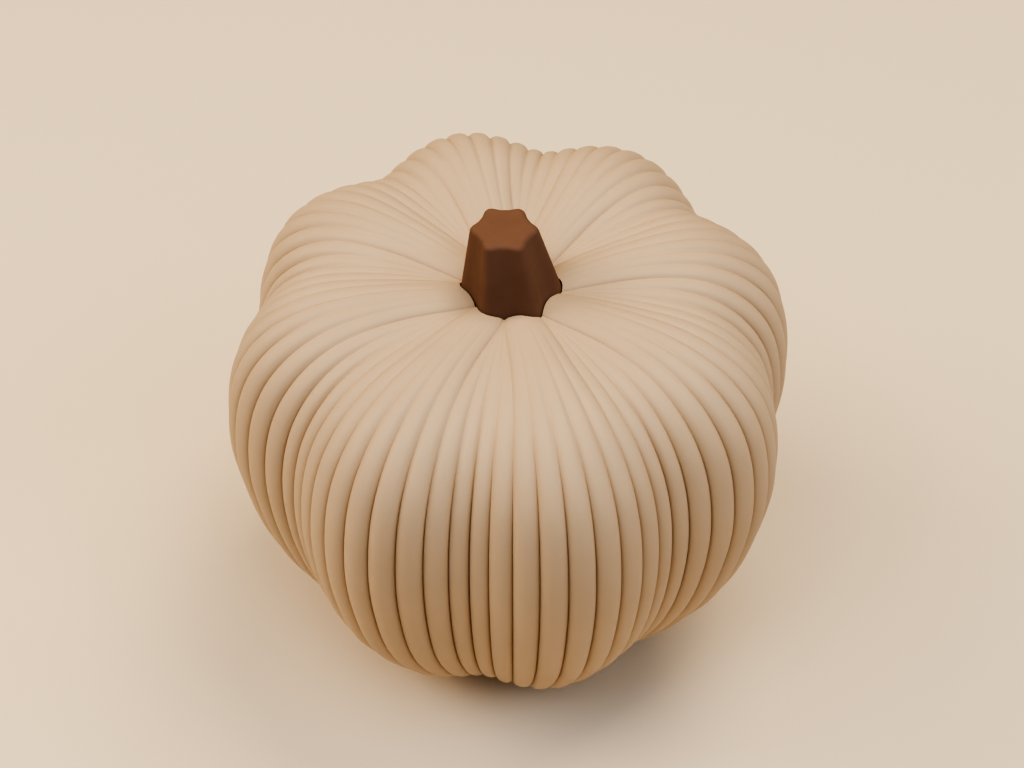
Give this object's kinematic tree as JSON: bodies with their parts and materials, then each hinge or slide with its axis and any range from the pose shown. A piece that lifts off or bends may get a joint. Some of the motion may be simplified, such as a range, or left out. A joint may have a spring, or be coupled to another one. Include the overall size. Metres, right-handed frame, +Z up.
{
  "type": "ornamental pumpkin",
  "caption": "Table ornament in the shape of a tall pumpkin: rounded lobes with fine ribs that fade towards the crown, and a short six-sided fluted stem set in it.",
  "frame": {"origin": "on the table, under the middle of the body, at the centre of the flat spot it rests on", "axes": "+Z up along the body's axis through the crown; -Y is the front, where a valley between two lobes runs down the middle; +X to the right"},
  "size_m": [0.1152, 0.1152, 0.1134],
  "materials": {
    "body": "matte",
    "stem": "matte"
  },
  "bodies": {
    "root": {"pumpkin_body": "body", "stem": "stem"}
  },
  "joints": []
}
